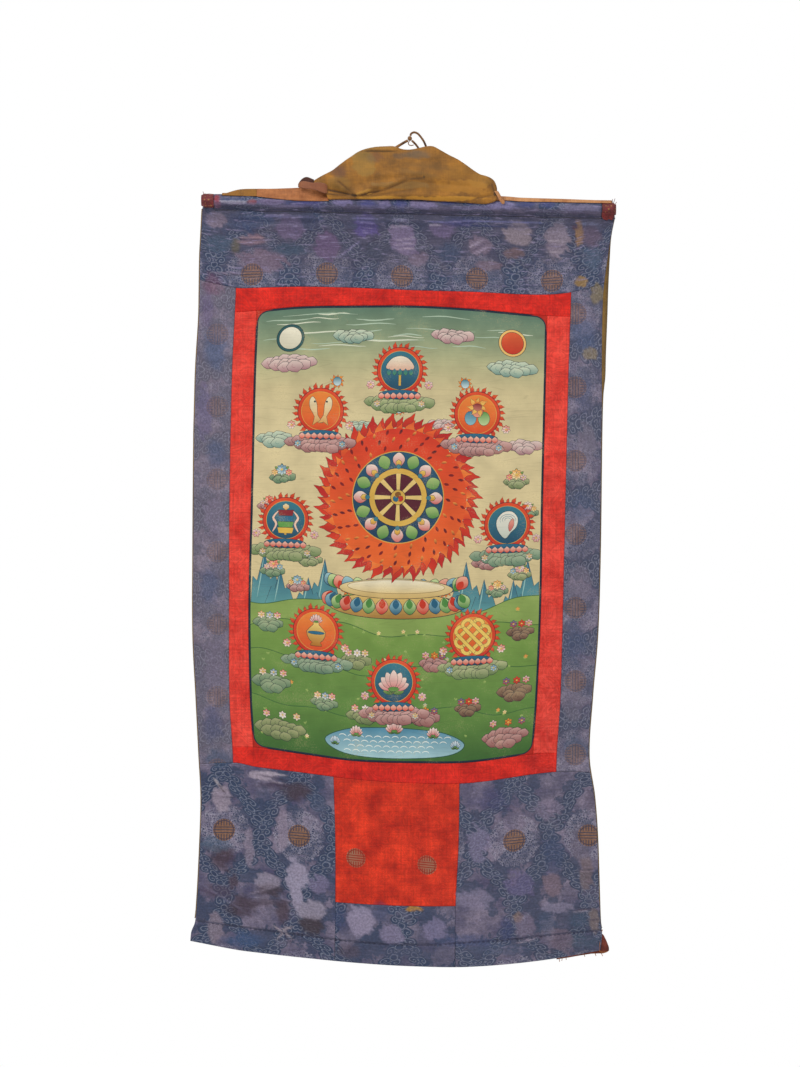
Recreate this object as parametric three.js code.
// A thangka: a painted cloth framed in red damask, set in a blue brocade mount,
// with its silk veil bunched over the top stave and a cord loop to hang it by.
// Millimetres, +Z up, the front of the picture looks along -Y.
// The origin is where the hook bears, inside the top of the cord loop, and
// "drop" is the distance below that point.
import * as THREE from 'three';

// Cloth thicknesses and the spaces between pieces
const brocadeThick = 1.6;
const hemFrontExtra = 1.4;
const canvasThick = 1.4;
const liningThick = 1.0;
const seamGap = 0.4;
const liningGap = 0.9;
const liningTopGap = 3;
const liningHemGap = 4;
const liningLeftShows = 2;
const patchThick = 1.2;
const patchGap = 0.4;

// The stave sleeve along the top
const sleeveRadius = 13;
const sleeveLeftX = -422;
const sleeveRightX = 400;
const sleeveLeftDrop = 133;
const sleeveRightDrop = 151;
const sleeveNeck = 14;
const sleeveAngles = [26, 50, 75, 100, 125, 150, 172];
const capRadius = 13.4;
const capGap = 0.3;

// How far the middle of the cloth stands forward of the stave, and its edges back
const bellyForward = 24;
const edgeBack = 16;
const halfWidth = 410;
const hemDrop = 1650;

// Where the doubled cloth of the hem begins and is full, on the net of seams
const hemFold = { start: 5.9, full: 6.05 };

// Rows of numbers under named columns
function table(names, rows) {
  return rows.map((row) => Object.fromEntries(names.map((name, k) => [name, row[k]])));
}

// The cut edges of the mount, and how far the lining shows past the right one
const sideEdges = [
  { drop: 165, left: -424, right: 402, lining: 1 },
  { drop: 205, left: -426, right: 394, lining: 1 },
  { drop: 245, left: -428, right: 388, lining: 4 },
  { drop: 305, left: -429, right: 380, lining: 9 },
  { drop: 365, left: -430, right: 377, lining: 10 },
  { drop: 445, left: -435, right: 376, lining: 8 },
  { drop: 485, left: -437, right: 376, lining: 7 },
  { drop: 525, left: -438, right: 376, lining: 3 },
  { drop: 605, left: -440, right: 375, lining: 2 },
  { drop: 845, left: -442, right: 372, lining: 2 },
  { drop: 1005, left: -442, right: 367, lining: 2 },
  { drop: 1125, left: -436, right: 357, lining: 2 },
  { drop: 1245, left: -430, right: 350, lining: 2 },
  { drop: 1325, left: -426, right: 361, lining: 2 },
  { drop: 1405, left: -428, right: 367, lining: 2 },
  { drop: 1525, left: -434, right: 371, lining: 2 },
  { drop: 1578, left: -439, right: 374, lining: 1 },
  { drop: 1600, left: -447, right: 377, lining: 1 },
  { drop: 1640, left: -449, right: 373, lining: 1 },
];

// The seams that run down the mount: x of each at a drop
const seamNames = ['redLeft', 'canvasLeft', 'doorLeft', 'doorRight', 'canvasRight', 'redRight'];
const downSeams = table(['drop', ...seamNames], [
  [165, -352, -312, -160, 92, 270, 318],
  [330, -357, -314, -160, 92, 267, 314],
  [480, -364, -320, -160, 92, 264, 309],
  [730, -369, -326, -160, 92, 258, 303],
  [950, -370, -331, -160, 92, 254, 298],
  [1130, -369, -328, -160, 92, 246, 293],
  [1260, -362, -320, -161, 91, 237, 285],
  [1420, -366, -322, -157, 89, 240, 286],
  [1540, -372, -326, -157, 83, 244, 292],
  [1650, -378, -330, -158, 82, 248, 298],
]);

// The seams that run across it, and the bottom edge: drop of each at an x
const crossSeams = table(['x', 'redTop', 'canvasTop', 'canvasEnd', 'redEnd', 'doorEnd', 'hem', 'end'], [
  [-440, 290, 357, 1226, 1262, 1525, 1574, 1618],
  [-357, 308, 357, 1226, 1258, 1527, 1584, 1632],
  [-316, 308, 354, 1227, 1266, 1528, 1589, 1637],
  [-228, 306, 346, 1240, 1277, 1531, 1601, 1647],
  [-120, 308, 344, 1254, 1290, 1538, 1613, 1656],
  [0, 313, 344, 1258, 1298, 1543, 1619, 1663],
  [110, 316, 350, 1257, 1298, 1543, 1615, 1665],
  [250, 322, 363, 1239, 1279, 1536, 1603, 1653],
  [314, 317, 366, 1240, 1276, 1532, 1598, 1645],
  [390, 297, 366, 1242, 1282, 1528, 1593, 1632],
]);

// The bow of the hanging cloth grows from here on, to below the hem
const bowStart = 150;
const bowBelowHem = 250;

// Soft upright waves of the hanging cloth: forward of the belly where rise is over 0
const waves = [
  { at: -345, wide: 62, rise: 7, from: 620, full: 1250 },
  { at: -215, wide: 60, rise: -6, from: 900, full: 1400 },
  { at: -60, wide: 80, rise: 5, from: 1100, full: 1550 },
  { at: 105, wide: 60, rise: -5, from: 1150, full: 1500 },
  { at: 215, wide: 60, rise: 7, from: 850, full: 1330 },
  { at: 335, wide: 60, rise: -9, from: 560, full: 1230 },
];

// Creases pressed across the heading below the sleeve
const creases = [
  { fromX: -405, toX: 120, fromDrop: 166, toDrop: 176, wide: 5, rise: 2.2 },
  { fromX: -130, toX: 362, fromDrop: 178, toDrop: 182, wide: 6, rise: 2.4 },
  { fromX: -380, toX: -110, fromDrop: 186, toDrop: 191, wide: 7, rise: 1.8 },
  { fromX: 60, toX: 330, fromDrop: 201, toDrop: 205, wide: 8, rise: 1.8 },
];

// How finely each stretch between two seams is divided
const cellsAcross = [3, 2, 4, 6, 4, 2, 3];
const cellsDown = [9, 2, 14, 2, 5, 2, 2];

// The veil, bunched up over the stave: its ridge, its front hem and how far it swells
const veilThick = 2;
const veilRows = [
  { x: -200, ridge: -94, hem: -101, swell: 0 },
  { x: -190, ridge: -87.8, hem: -103, swell: 0 },
  { x: -181, ridge: -82.8, hem: -104, swell: 1 },
  { x: -172, ridge: -78.3, hem: -131, swell: 2 },
  { x: -162, ridge: -72.8, hem: -133, swell: 3 },
  { x: -148, ridge: -61.8, hem: -133, swell: 4 },
  { x: -136, ridge: -52.8, hem: -133, swell: 5 },
  { x: -124, ridge: -44.8, hem: -133, swell: 6 },
  { x: -112, ridge: -36.8, hem: -133, swell: 6 },
  { x: -98, ridge: -31, hem: -133, swell: 8 },
  { x: -80, ridge: -27, hem: -133, swell: 10 },
  { x: -60, ridge: -25.5, hem: -133, swell: 11 },
  { x: -40, ridge: -25.5, hem: -133, swell: 12 },
  { x: -24, ridge: -31, hem: -133, swell: 12 },
  { x: -8, ridge: -32, hem: -133.5, swell: 12 },
  { x: 9, ridge: -29, hem: -134, swell: 12 },
  { x: 25, ridge: -25.5, hem: -135, swell: 12 },
  { x: 38, ridge: -25.5, hem: -136, swell: 12 },
  { x: 54, ridge: -33.8, hem: -137, swell: 11 },
  { x: 70, ridge: -42.8, hem: -138, swell: 10 },
  { x: 87, ridge: -51.3, hem: -139, swell: 9 },
  { x: 103, ridge: -61.8, hem: -140, swell: 8 },
  { x: 118, ridge: -72.8, hem: -141, swell: 7 },
  { x: 132, ridge: -81.3, hem: -142, swell: 6 },
  { x: 144, ridge: -84.8, hem: -142, swell: 5 },
  { x: 154, ridge: -89.3, hem: -140, swell: 3 },
  { x: 161, ridge: -96.3, hem: -137, swell: 1 },
  { x: 166, ridge: -108.8, hem: -134, swell: 0 },
];
const veilFrontY = 12;
const veilHemForward = 4;
const veilFrontSteps = 10;
const veilTurnIn = 1.8;
const veilTuckShares = [0.84, 0.68, 0.52];

// Folds of the veil that fan out from the pinch at its lower left
const veilFolds = [
  { fromX: -126, fromZ: -124, toX: -70, toZ: -104, wide: 8, rise: 5 },
  { fromX: -84, fromZ: -108, toX: 10, toZ: -91, wide: 8, rise: 3.5 },
  { fromX: -60, fromZ: -122, toX: 132, toZ: -131, wide: 8, rise: 4 },
  { fromX: -176, fromZ: -106, toX: -122, toZ: -126, wide: 7, rise: -3.5 },
  { fromX: -158, fromZ: -90, toX: -134, toZ: -120, wide: 8, rise: 2.5 },
  { fromX: -102, fromZ: -35, toX: -28, toZ: -34, wide: 7, rise: 4 },
];

// The strips that lie along the sleeve: ridge height, and where the front hem ends
const bandThick = 2;
const bandSpace = 0.85;
const bandBackAngles = [142, 118];
const bandFrontAngle = 62;
const bandHemAngle = 4;
const bandPinch = 3.2;
const bandRidge = 1.2;
const sashRows = [
  { x: -384, ridge: -121.5, hem: -124 },
  { x: -364, ridge: -114.5, hem: -124.5 },
  { x: -346, ridge: -110.5, hem: -125 },
  { x: -317, ridge: -109.5, hem: -126 },
];
const copperRows = [
  { x: -316, ridge: -109.5, hem: -126 },
  { x: -285, ridge: -109.5, hem: -130 },
  { x: -254, ridge: -108.5, hem: -133.5 },
  { x: -228, ridge: -107.5, hem: -135.5 },
  { x: -203, ridge: -107.5, hem: -136 },
  { x: -178, ridge: -108, hem: -136 },
];
const ribbonThick = 1.4;
const ribbonRows = [
  { x: 172, ridge: -125, hem: -134 },
  { x: 190, ridge: -125.5, hem: -134 },
  { x: 212, ridge: -127.5, hem: -136 },
  { x: 292, ridge: -130, hem: -137.5 },
  { x: 362, ridge: -132.5, hem: -139 },
  { x: 396, ridge: -133, hem: -139.5 },
];

// The copper strip's rolled end, in order along the strip, and the tied tail
const curlThick = 1.8;
const curlRows = [
  { x: -206, y: -5, low: -104.5, high: -95 },
  { x: -214, y: -6, low: -105, high: -87.5 },
  { x: -224, y: -8, low: -105, high: -92 },
  { x: -231, y: -14, low: -108, high: -101 },
  { x: -226, y: -20, low: -110, high: -96 },
  { x: -216, y: -24, low: -112, high: -90 },
  { x: -204, y: -26, low: -113, high: -97 },
  { x: -190, y: -25, low: -117, high: -102 },
  { x: -179, y: -22.5, low: -121, high: -103 },
  { x: -173, y: -18.6, low: -120, high: -106 },
];
const tailThick = 1.2;
const tailRows = [
  { drop: 116, left: 160, right: 168, y: -17.5 },
  { drop: 123, left: 164, right: 172, y: -17.5 },
  { drop: 130, left: 168, right: 176, y: -17.3 },
  { drop: 136, left: 171, right: 181, y: -16.6 },
  { drop: 142, left: 176, right: 180, y: -15.6 },
];

// The brown hanging cord: routes chosen by hand, and its knot
const cordDiameter = 4.6;
const cordSteps = 26;
const loopRoute = [
  [74, 9, -131.8], [68, 8.8, -118], [58, 7.6, -92], [45, 6, -64], [33, 4, -42],
  [24.4, 2.4, -26], [20, 1, -16], [12.4, 0.2, -5], [6.4, 0, 0.8], [0, 0, 2.6],
  [-5.2, 0, 0.4], [-7.6, 0.2, -4.2],
];
const innerRoute = [
  [46, 9, -131.2], [42, 9, -116], [34, 8.4, -90], [24, 6.6, -62], [14.5, 4.4, -40],
  [9, 2.6, -29], [2.6, 1.2, -20.4], [-4.5, 0.5, -13.4],
];
const strapWide = 5.2;
const strapFlat = 2.8;
const strapRoute = [
  [-12.2, 0.7, -13.4], [-23, 1.6, -19.4], [-38.5, 3, -30], [-57, 5.6, -54], [-72, 7.4, -80],
  [-84, 8.8, -106], [-92, 9.4, -129.2],
];
const ringDiameter = 1.4;
const ringRoute = [
  [-9.2, -0.3, -15.3], [-11.4, -0.8, -18.8], [-9.6, -1, -22.6], [-5, -1, -23.6],
  [-0.8, -0.6, -22.6],
];
const knotCentre = [-8.4, 0.2, -9.6];
const knotRadii = [4.6, 4.6, 5];

// The red-brown patch behind the right end of the hem, with its turned-out corner
const patchTurn = { fromX: 378, slope: 0.15 };
const patchColumns = [
  { x: 285, top: 1612, end: 1651.5 },
  { x: 312, top: 1609, end: 1648 },
  { x: 335, top: 1607, end: 1644.5 },
  { x: 356, top: 1605, end: 1641.5 },
  { x: 372, top: 1601, end: 1641 },
  { x: 379, top: 1602, end: 1641 },
  { x: 386, top: 1616, end: 1639 },
  { x: 391, top: 1629, end: 1635.5 },
];

// A smooth curve through a table's rows, straight beyond its ends
function follow(rows, along, value) {
  const slope = rows.map((row, k) => {
    const before = rows[Math.max(k - 1, 0)];
    const after = rows[Math.min(k + 1, rows.length - 1)];
    return (after[value] - before[value]) / (after[along] - before[along]);
  });
  return (at) => {
    const last = rows.length - 1;
    if (at <= rows[0][along]) {
      return rows[0][value] + slope[0] * (at - rows[0][along]);
    }
    if (at >= rows[last][along]) {
      return rows[last][value] + slope[last] * (at - rows[last][along]);
    }
    let k = 0;
    while (at > rows[k + 1][along]) {
      k += 1;
    }
    const run = rows[k + 1][along] - rows[k][along];
    const t = (at - rows[k][along]) / run;
    const start = (1 + 2 * t) * (1 - t) ** 2 * rows[k][value] + t * (1 - t) ** 2 * run * slope[k];
    const finish = (3 - 2 * t) * t * t * rows[k + 1][value] + (t - 1) * t * t * run * slope[k + 1];
    return start + finish;
  };
}

function ease(value, from, to) {
  const t = Math.min(1, Math.max(0, (value - from) / (to - from)));
  return t * t * (3 - 2 * t);
}

function sleeveDrop(x) {
  const share = (x - sleeveLeftX) / (sleeveRightX - sleeveLeftX);
  return sleeveLeftDrop + share * (sleeveRightDrop - sleeveLeftDrop);
}

// How far a point stands from the line between two ends, on a soft fold's profile
function foldAt(fold, x, z, startZ, endZ) {
  const runX = fold.toX - fold.fromX;
  const runZ = endZ - startZ;
  const long = Math.hypot(runX, runZ);
  const along = ((x - fold.fromX) * runX + (z - startZ) * runZ) / (long * long);
  const aside = ((x - fold.fromX) * runZ - (z - startZ) * runX) / long;
  const ends = ease(along, -0.12, 0.18) * (1 - ease(along, 0.7, 1.12));
  return fold.rise * ends * Math.exp(-((aside / fold.wide) ** 2));
}

// The middle surface of the hanging cloth, as a distance in front of the stave
function forward(x, drop) {
  const down = ease(drop, bowStart, hemDrop + bowBelowHem);
  const spread = (x / halfWidth) ** 2;
  let depth = down * (bellyForward - (bellyForward + edgeBack) * spread);
  for (const wave of waves) {
    const near = Math.exp(-(((x - wave.at) / wave.wide) ** 2));
    depth += wave.rise * near * ease(drop, wave.from, wave.full);
  }
  return depth;
}

function creaseRise(x, drop) {
  return creases.reduce(
    (sum, crease) => sum + foldAt(crease, x, drop, crease.fromDrop, crease.toDrop),
    0,
  );
}

const leftEdge = follow(sideEdges, 'drop', 'left');
const rightEdge = follow(sideEdges, 'drop', 'right');
const liningShows = follow(sideEdges, 'drop', 'lining');
const downLines = [
  leftEdge,
  ...seamNames.map((name) => follow(downSeams, 'drop', name)),
  rightEdge,
];
const crossLines = [
  (x) => sleeveDrop(x) + sleeveNeck,
  ...['redTop', 'canvasTop', 'canvasEnd', 'redEnd', 'doorEnd', 'hem', 'end'].map(
    (name) => follow(crossSeams, 'x', name),
  ),
];

function between(lines, place, at) {
  const k = Math.min(Math.floor(place), lines.length - 2);
  const share = place - k;
  return lines[k](at) * (1 - share) + lines[k + 1](at) * share;
}

// Where a place on the mount's net of seams lies: x and drop
function onMount(across, down) {
  let x = 0;
  let drop = 800;
  for (let round = 0; round < 6; round += 1) {
    x = between(downLines, across, drop);
    drop = between(crossLines, down, x);
  }
  return { x, drop };
}

// The net's lines from one seam to another, closer together just below the sleeve
const bunching = 1.8;
function netLines(cells, from, to, bunched) {
  const lines = [];
  for (let k = from; k < to; k += 1) {
    for (let step = 0; step < cells[k]; step += 1) {
      const share = step / cells[k];
      lines.push(k + (bunched && k === 0 ? share ** bunching : share));
    }
  }
  lines.push(to);
  return lines;
}

// A closed mesh from points and triangles, turned the right way out
function closedMesh(points, triangles) {
  let volume = 0;
  for (const [a, b, c] of triangles) {
    const [p, q, r] = [points[a], points[b], points[c]];
    volume += p[0] * (q[1] * r[2] - q[2] * r[1]) + p[1] * (q[2] * r[0] - q[0] * r[2]);
    volume += p[2] * (q[0] * r[1] - q[1] * r[0]);
  }
  const outward = volume < 0 ? triangles.map(([a, b, c]) => [a, c, b]) : triangles;
  const geometry = new THREE.BufferGeometry();
  geometry.setAttribute('position', new THREE.Float32BufferAttribute(points.flat(), 3));
  geometry.setIndex(outward.flat());
  geometry.computeVertexNormals();
  return geometry;
}

// A sheet on a grid of [x, frontY, backY, z], with walls where kept cells end
function gridSheet(grid, keep = () => true) {
  const rows = grid.length;
  const columns = grid[0].length;
  const points = [];
  const triangles = [];
  const front = (j, i) => 2 * (j * columns + i);
  const back = (j, i) => front(j, i) + 1;
  grid.flat().forEach(([x, frontY, backY, z]) => points.push([x, frontY, z], [x, backY, z]));
  const kept = (j, i) => j >= 0 && i >= 0 && j < rows - 1 && i < columns - 1 && keep(j, i);
  const quad = (a, b, c, d) => triangles.push([a, b, c], [a, c, d]);
  const wall = (j, i, nextJ, nextI) => {
    quad(front(j, i), front(nextJ, nextI), back(nextJ, nextI), back(j, i));
  };
  for (let j = 0; j < rows - 1; j += 1) {
    for (let i = 0; i < columns - 1; i += 1) {
      if (kept(j, i)) {
        quad(front(j, i), front(j + 1, i), front(j + 1, i + 1), front(j, i + 1));
        quad(back(j, i), back(j, i + 1), back(j + 1, i + 1), back(j + 1, i));
        if (!kept(j - 1, i)) wall(j, i, j, i + 1);
        if (!kept(j, i + 1)) wall(j, i + 1, j + 1, i + 1);
        if (!kept(j + 1, i)) wall(j + 1, i + 1, j + 1, i);
        if (!kept(j, i - 1)) wall(j + 1, i, j, i);
      }
    }
  }
  const used = [...new Set(triangles.flat())].sort((a, b) => a - b);
  const renumber = new Map(used.map((old, now) => [old, now]));
  return closedMesh(
    used.map((k) => points[k]),
    triangles.map((triangle) => triangle.map((k) => renumber.get(k))),
  );
}

// One cut piece of the mount, between the seams that are named by number
function panel({ across, down, thick, hemExtra = 0 }) {
  const columns = netLines(cellsAcross, ...across);
  const rows = netLines(cellsDown, ...down, true);
  const grid = rows.map((v) => columns.map((u) => {
    let { x, drop } = onMount(u, v);
    if (u === across[0] && u > 0) x += seamGap / 2;
    if (u === across[1] && u < downLines.length - 1) x -= seamGap / 2;
    if (v === down[0] && v > 0) drop += seamGap / 2;
    if (v === down[1] && v < crossLines.length - 1) drop -= seamGap / 2;
    const y = -forward(x, drop);
    const ahead = thick / 2 + hemExtra * ease(v, hemFold.start, hemFold.full);
    return [x, y - ahead, y + thick / 2, -drop];
  }));
  return gridSheet(grid);
}

// The heading: its sheet below, and its upper end filled out round the stave
function headingSheet() {
  const columns = netLines(cellsAcross, 0, cellsAcross.length);
  const rows = netLines(cellsDown, 0, 1, true);
  const sheet = rows.map((v) => columns.map((u) => {
    const { x, drop } = onMount(u, v);
    const seam = v === 1 ? seamGap / 2 : 0;
    const y = -forward(x, drop);
    const rise = Math.max(0, creaseRise(x, drop));
    return [x, y - brocadeThick / 2 - rise, y + brocadeThick / 2, -(drop - seam)];
  }));
  const roll = [...sleeveAngles].reverse().map((degrees) => columns.map((u) => {
    const { x } = onMount(u, 0);
    const angle = THREE.MathUtils.degToRad(degrees);
    const half = sleeveRadius * Math.sin(angle);
    return [x, -half, half, -(sleeveDrop(x) + sleeveRadius * Math.cos(angle))];
  }));
  const last = columns.length - 2;
  return gridSheet([...roll, ...sheet], (j, i) => j >= roll.length || (i > 0 && i < last));
}

// The lining: one sheet behind the whole front, down to the seam of the hem
function liningSheet() {
  const columns = netLines(cellsAcross, 0, cellsAcross.length);
  const rows = netLines(cellsDown, 0, 6, true).filter((v, k) => v >= 1 || k % 3 === 0);
  const grid = rows.map((v) => columns.map((u) => {
    let { x, drop } = onMount(u, v);
    if (v === 0) drop += liningTopGap;
    if (v === 6) drop -= liningHemGap;
    const y = -forward(x, drop) + brocadeThick / 2 + liningGap;
    if (u === 0) x -= liningLeftShows;
    if (u === cellsAcross.length) x += liningShows(drop);
    return [x, y, y + liningThick, -drop];
  }));
  return gridSheet(grid);
}

function turnedBack(x) {
  return Math.max(0, x - patchTurn.fromX) * patchTurn.slope;
}

function cornerPatch() {
  const shares = [0, 0.5, 1];
  const grid = shares.map((share) => patchColumns.map(({ x, top, end }) => {
    const drop = top + (end - top) * share;
    const y = -forward(x, drop) + brocadeThick / 2 + patchGap + turnedBack(x);
    return [x, y, y + patchThick, -drop];
  }));
  return gridSheet(grid);
}

// A sheet that bends over in the y, z plane, carried along x: each section is its middle line
function lofted(sections, thick) {
  const points = [];
  const triangles = [];
  const count = sections[0].line.length;
  for (const { x, line } of sections) {
    const sides = [[], []];
    line.forEach(([y, z], k) => {
      const [beforeY, beforeZ] = line[Math.max(k - 1, 0)];
      const [afterY, afterZ] = line[Math.min(k + 1, count - 1)];
      const long = Math.hypot(afterY - beforeY, afterZ - beforeZ);
      const normal = [(beforeZ - afterZ) / long, (afterY - beforeY) / long];
      sides[0].push([x, y + (normal[0] * thick) / 2, z + (normal[1] * thick) / 2]);
      sides[1].push([x, y - (normal[0] * thick) / 2, z - (normal[1] * thick) / 2]);
    });
    points.push(...sides[0], ...sides[1].reverse());
  }
  const around = 2 * count;
  for (let s = 0; s < sections.length - 1; s += 1) {
    for (let k = 0; k < around; k += 1) {
      const next = (k + 1) % around;
      const [a, b] = [s * around + k, s * around + next];
      triangles.push([a, b, b + around], [a, b + around, a + around]);
    }
  }
  const end = (sections.length - 1) * around;
  for (let k = 0; k < count - 1; k += 1) {
    const [a, b, c, d] = [k, k + 1, around - 2 - k, around - 1 - k];
    triangles.push([a, c, b], [a, d, c]);
    triangles.push([end + a, end + b, end + c], [end + a, end + c, end + d]);
  }
  return closedMesh(points, triangles);
}

// The veil hangs over the stave: up the back, over its ridge, down the full front,
// and its hem turned in and tucked up again behind the front
function veilSheet() {
  const sections = veilRows.map(({ x, ridge, hem, swell }) => {
    const foot = Math.max(sleeveRadius + 1.1 - sleeveDrop(x), hem + 3);
    const tall = ridge - foot;
    const top = ridge - veilThick / 2;
    const front = (share) => {
      const z = top + (hem + veilTurnIn + veilThick / 2 - top) * share;
      const full = swell * Math.sin(Math.PI * share ** 0.9);
      const folds = veilFolds.reduce(
        (sum, fold) => sum + foldAt(fold, x, z, fold.fromZ, fold.toZ),
        0,
      );
      return [-(veilFrontY + veilHemForward * share + full + folds * ease(swell, 0, 2)), z];
    };
    const line = [
      [3.4, foot],
      [3.2, foot + 0.33 * tall],
      [0.4, foot + 0.66 * tall],
      [-5.2, ridge - Math.min(5, 0.2 * tall)],
      [-7.4, top],
      [-9.8, top],
    ];
    for (let step = 1; step <= veilFrontSteps; step += 1) {
      line.push(front(step / veilFrontSteps));
    }
    const [hemY, hemZ] = front(1);
    line.push([hemY + veilTurnIn, hemZ - veilTurnIn], [hemY + 2 * veilTurnIn, hemZ]);
    for (const share of veilTuckShares) {
      const [y, z] = front(share);
      line.push([y + 2 * veilTurnIn, z]);
    }
    return { x, line };
  });
  return lofted(sections, veilThick);
}

// A strip of cloth laid over the sleeve: it follows the roll, then pinches up to a ridge
function overSleeve(rows, thick) {
  const reach = sleeveRadius + bandSpace + thick / 2;
  const sections = rows.map(({ x, ridge, hem }) => {
    const sleeveZ = -sleeveDrop(x);
    const onRoll = (degrees) => {
      const angle = THREE.MathUtils.degToRad(degrees);
      return [-reach * Math.cos(angle), sleeveZ + reach * Math.sin(angle)];
    };
    const hemAngle = THREE.MathUtils.radToDeg(Math.asin(Math.max(-0.5, (hem - sleeveZ) / reach)));
    const shoulder = Math.max(bandFrontAngle, hemAngle + bandHemAngle);
    const top = Math.max(ridge - thick / 2, sleeveZ + reach + 0.1);
    const line = [
      ...bandBackAngles.map(onRoll),
      [bandPinch, (top + sleeveZ + reach) / 2],
      [bandRidge, top],
      [-bandRidge, top],
      [-bandPinch, (top + sleeveZ + reach) / 2],
      onRoll(shoulder),
      onRoll((shoulder + hemAngle) / 2),
      onRoll(hemAngle),
    ];
    return { x, line };
  });
  return lofted(sections, thick);
}

// A strip that stands on edge and bends in plan
function standingStrip(rows, thick) {
  const sections = rows.map((row, k) => {
    const before = rows[Math.max(k - 1, 0)];
    const after = rows[Math.min(k + 1, rows.length - 1)];
    const long = Math.hypot(after.x - before.x, after.y - before.y);
    const half = thick / 2 / long;
    return { ...row, aside: [(after.y - before.y) * half, (before.x - after.x) * half] };
  });
  const points = [];
  const triangles = [];
  sections.forEach(({ x, y, low, high, aside }) => {
    points.push([x + aside[0], y + aside[1], low], [x + aside[0], y + aside[1], high]);
    points.push([x - aside[0], y - aside[1], high], [x - aside[0], y - aside[1], low]);
  });
  for (let s = 0; s < sections.length - 1; s += 1) {
    for (let k = 0; k < 4; k += 1) {
      const [a, b] = [4 * s + k, 4 * s + ((k + 1) % 4)];
      triangles.push([a, b, b + 4], [a, b + 4, a + 4]);
    }
  }
  const end = 4 * (sections.length - 1);
  triangles.push([0, 2, 1], [0, 3, 2], [end, end + 1, end + 2], [end, end + 2, end + 3]);
  return closedMesh(points, triangles);
}

function ribbonTail() {
  const grid = tailRows.map(({ drop, left, right, y }) => (
    [left, (left + right) / 2, right].map((x, k) => [
      x, y - tailThick / 2 - (k === 1 ? 0.8 : 0), y + tailThick / 2, -drop,
    ])
  ));
  return gridSheet(grid);
}

// A closed round body from rings along x, each a centre and a radius
function ringBody(rings, sides = 12) {
  const points = [];
  const triangles = [];
  for (const { x, z, radius } of rings) {
    for (let k = 0; k < sides; k += 1) {
      const angle = (2 * Math.PI * k) / sides;
      points.push([x, -radius * Math.cos(angle), z + radius * Math.sin(angle)]);
    }
  }
  for (let s = 0; s < rings.length - 1; s += 1) {
    for (let k = 0; k < sides; k += 1) {
      const [a, b] = [s * sides + k, s * sides + ((k + 1) % sides)];
      triangles.push([a, b, b + sides], [a, b + sides, a + sides]);
    }
  }
  const end = (rings.length - 1) * sides;
  for (let k = 1; k < sides - 1; k += 1) {
    triangles.push([0, k + 1, k], [end, end + k, end + k + 1]);
  }
  return closedMesh(points, triangles);
}

function endCap(innerX, outerX) {
  const shape = [
    { share: 0, radius: capRadius - 0.3 },
    { share: 0.5, radius: capRadius },
    { share: 0.86, radius: capRadius - 0.4 },
    { share: 1, radius: capRadius - 3.6 },
  ];
  return ringBody(shape.map(({ share, radius }) => {
    const x = innerX + (outerX - innerX) * share;
    return { x, z: -sleeveDrop(x), radius };
  }));
}

// A cord: an oval section carried along its route
function cord(route, steps, wide, flat = wide) {
  const sides = 8;
  const section = new THREE.Shape();
  for (let k = 0; k < sides; k += 1) {
    const angle = (2 * Math.PI * (k + 0.5)) / sides;
    const point = [(flat / 2) * Math.cos(angle), (wide / 2) * Math.sin(angle)];
    if (k === 0) section.moveTo(...point);
    else section.lineTo(...point);
  }
  const points = route.map((place) => new THREE.Vector3(...place));
  const path = new THREE.CatmullRomCurve3(points, false, 'centripetal');
  return new THREE.ExtrudeGeometry(section, { steps, extrudePath: path, bevelEnabled: false });
}

// The knot: a small lump, squeezed at its waist where the cord wraps it
function knotLump() {
  const rings = 7;
  const sides = 10;
  const points = [];
  const triangles = [];
  for (let j = 1; j < rings; j += 1) {
    const up = (Math.PI * j) / rings;
    for (let k = 0; k < sides; k += 1) {
      const angle = (2 * Math.PI * k) / sides;
      const waist = 0.08 * Math.exp(-(((up - 1.7) / 0.25) ** 2));
      const lump = 1 + 0.1 * Math.cos(3 * angle + 2 * up) - waist;
      const out = Math.sin(up) * lump;
      points.push([
        knotCentre[0] + knotRadii[0] * out * Math.cos(angle),
        knotCentre[1] + knotRadii[1] * out * Math.sin(angle),
        knotCentre[2] + knotRadii[2] * Math.cos(up),
      ]);
    }
  }
  const last = rings - 2;
  for (let j = 0; j < last; j += 1) {
    for (let k = 0; k < sides; k += 1) {
      const [a, b] = [j * sides + k, j * sides + ((k + 1) % sides)];
      triangles.push([a, b, b + sides], [a, b + sides, a + sides]);
    }
  }
  for (let k = 1; k < sides - 1; k += 1) {
    triangles.push([0, k + 1, k], [last * sides, last * sides + k, last * sides + k + 1]);
  }
  return closedMesh(points, triangles);
}

const part = new THREE.Group();
const clothRoughness = 0.8;

function add(name, geometry, color) {
  const finish = new THREE.MeshStandardMaterial({ color, roughness: clothRoughness, metalness: 0 });
  const mesh = new THREE.Mesh(geometry, finish);
  mesh.name = name;
  part.add(mesh);
}

const colours = {
  brocade: 0x565f86,
  red: 0xd3342a,
  door: 0xc9361f,
  canvas: 0xa9a878,
  ochre: 0x9a7233,
  copper: 0xc4864f,
  peach: 0xd79a6a,
  lining: 0xa07c36,
  maroon: 0x5c1a1e,
  patch: 0x7d3326,
  cord: 0x7a4f2a,
};

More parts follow.
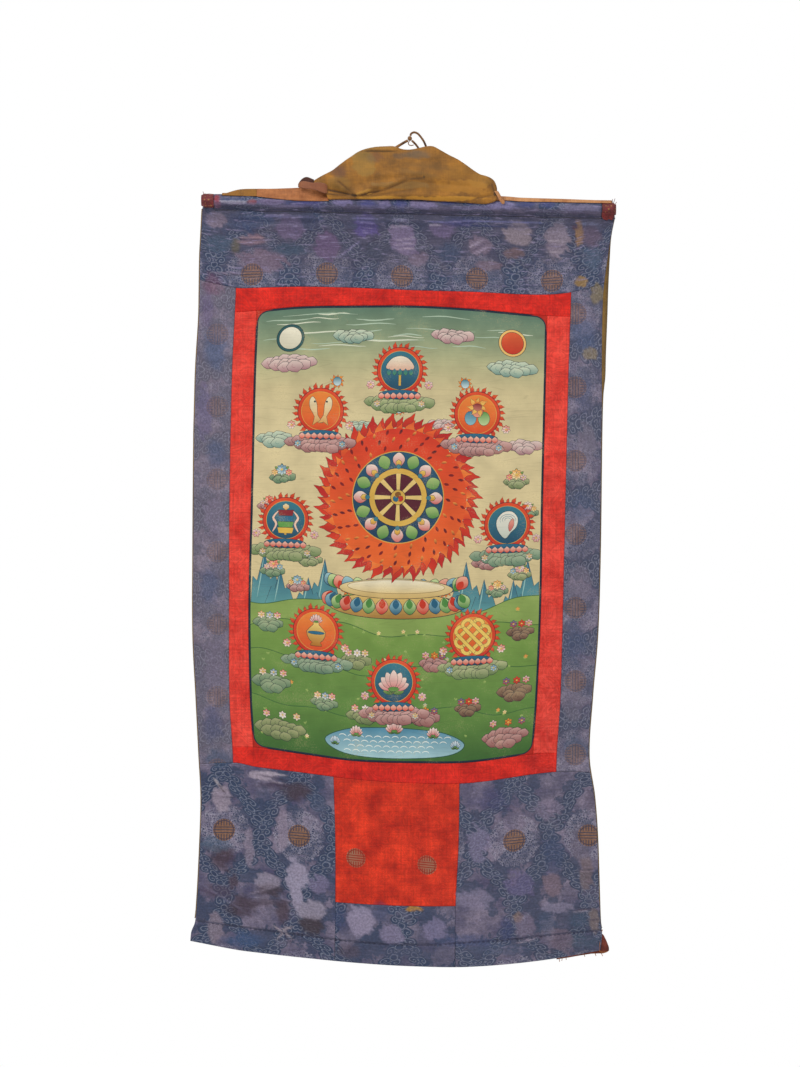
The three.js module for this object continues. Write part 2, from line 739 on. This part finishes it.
// Seams are counted from 0: across is left to right, down is from the sleeve to the hem's edge
add('brocade_heading', headingSheet(), colours.brocade);
const panels = [
  { name: 'red_strip_top', across: [1, 6], down: [1, 2], colour: colours.red },
  { name: 'red_strip_left', across: [1, 2], down: [2, 3], colour: colours.red },
  { name: 'red_strip_right', across: [5, 6], down: [2, 3], colour: colours.red },
  { name: 'red_strip_bottom', across: [1, 6], down: [3, 4], colour: colours.red },
  { name: 'painted_canvas', across: [2, 5], down: [2, 3], colour: colours.canvas, thick: canvasThick },
  { name: 'brocade_strip_left', across: [0, 1], down: [1, 4], colour: colours.brocade },
  { name: 'brocade_strip_right', across: [6, 7], down: [1, 4], colour: colours.brocade },
  { name: 'brocade_bottom_left', across: [0, 3], down: [4, 7], colour: colours.brocade },
  { name: 'brocade_bottom_right', across: [4, 7], down: [4, 7], colour: colours.brocade },
  { name: 'brocade_under_door', across: [3, 4], down: [5, 7], colour: colours.brocade },
  { name: 'door_panel', across: [3, 4], down: [4, 5], colour: colours.door },
];
for (const { name, across, down, colour, thick = brocadeThick } of panels) {
  const hemExtra = down[1] === crossLines.length - 1 ? hemFrontExtra : 0;
  add(name, panel({ across, down, thick, hemExtra }), colour);
}
add('lining_sheet', liningSheet(), colours.lining);
add('corner_patch', cornerPatch(), colours.patch);

const rollStart = onMount(1 / cellsAcross[0], 0).x;
const rollEnd = onMount(7 - 1 / cellsAcross[6], 0).x;
add('sleeve_cap_left', endCap(rollStart - capGap, -425.5), colours.maroon);
add('sleeve_cap_right', endCap(rollEnd + capGap, 404), colours.maroon);

add('veil', veilSheet(), colours.ochre);
add('sash_left', overSleeve(sashRows, bandThick), colours.ochre);
add('copper_band', overSleeve(copperRows, bandThick), colours.copper);
add('copper_curl', standingStrip(curlRows, curlThick), colours.copper);
add('ribbon_right', overSleeve(ribbonRows, ribbonThick), colours.peach);
add('ribbon_tail', ribbonTail(), colours.peach);

add('cord_loop', cord(loopRoute, cordSteps, cordDiameter), colours.cord);
add('cord_inner', cord(innerRoute, cordSteps / 2, cordDiameter), colours.cord);
add('cord_strap', cord(strapRoute, cordSteps / 2, strapWide, strapFlat), colours.cord);
add('cord_knot', knotLump(), colours.cord);
add('cord_ring', cord(ringRoute, cordSteps / 2, ringDiameter), colours.cord);

export default part;
